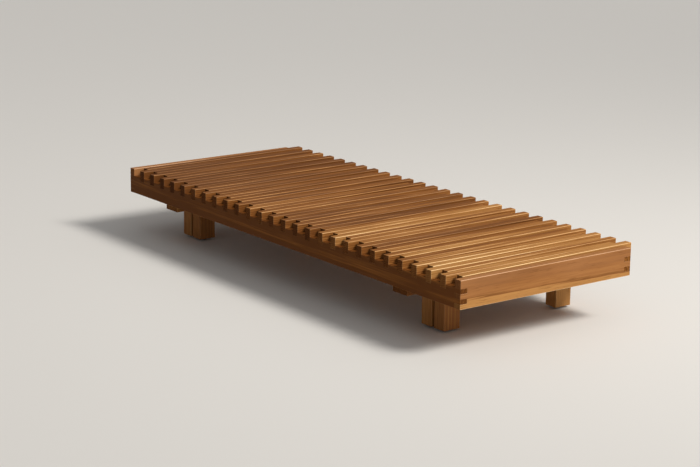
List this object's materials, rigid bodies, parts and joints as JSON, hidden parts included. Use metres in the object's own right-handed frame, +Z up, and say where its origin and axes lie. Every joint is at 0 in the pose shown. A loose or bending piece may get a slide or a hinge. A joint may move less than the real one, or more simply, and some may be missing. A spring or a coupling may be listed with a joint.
{
  "type": "persian takht",
  "caption": "Low slatted hardwood platform: finger-jointed frame with flush and set-back slats on short square posts.",
  "frame": {"origin": "middle of the whole piece's footprint, on the floor", "axes": "+X along the platform, +Y from the front rail to the ends of the set-back slats, +Z up"},
  "size_m": [1.78, 0.694, 0.222],
  "materials": {
    "frame_wood": "oiled, satin, end grain darker",
    "slat_wood": "oiled, satin, tone differs from slat to slat",
    "foot": "brown, dull"
  },
  "bodies": {
    "root": {"front_rail": "frame_wood", "back_rail": "frame_wood", "end_board_left": "frame_wood", "end_board_right": "frame_wood", "flush_slats_01_02": "slat_wood", "flush_slats_03_04": "slat_wood", "flush_slats_05_06": "slat_wood", "flush_slats_07_08": "slat_wood", "flush_slats_09_10": "slat_wood", "flush_slats_11_12": "slat_wood", "flush_slats_13_14": "slat_wood", "flush_slats_15_16": "slat_wood", "flush_slats_17_18": "slat_wood", "flush_slats_19_20": "slat_wood", "flush_slats_21_22": "slat_wood", "flush_slats_23_24": "slat_wood", "flush_slats_25_26": "slat_wood", "offset_slat_01": "slat_wood", "offset_slat_02": "slat_wood", "offset_slat_03": "slat_wood", "offset_slat_04": "slat_wood", "offset_slat_05": "slat_wood", "offset_slat_06": "slat_wood", "offset_slat_07": "slat_wood", "offset_slat_08": "slat_wood", "offset_slat_09": "slat_wood", "offset_slat_10": "slat_wood", "offset_slat_11": "slat_wood", "offset_slat_12": "slat_wood", "offset_slat_13": "slat_wood", "offset_slat_14": "slat_wood", "offset_slat_15": "slat_wood", "offset_slat_16": "slat_wood", "offset_slat_17": "slat_wood", "offset_slat_18": "slat_wood", "offset_slat_19": "slat_wood", "offset_slat_20": "slat_wood", "offset_slat_21": "slat_wood", "offset_slat_22": "slat_wood", "offset_slat_23": "slat_wood", "offset_slat_24": "slat_wood", "offset_slat_25": "slat_wood", "offset_slat_26": "slat_wood", "offset_slat_27": "slat_wood", "front_ledger": "frame_wood", "cross_rail_left": "frame_wood", "cross_rail_right": "frame_wood", "bearer_left": "frame_wood", "bearer_right": "frame_wood", "post_front_left_outer": "frame_wood", "post_front_left_inner": "frame_wood", "post_back_left": "frame_wood", "post_front_right_outer": "frame_wood", "post_front_right_inner": "frame_wood", "post_back_right": "frame_wood", "round_feet": "foot"}
  },
  "joints": []
}
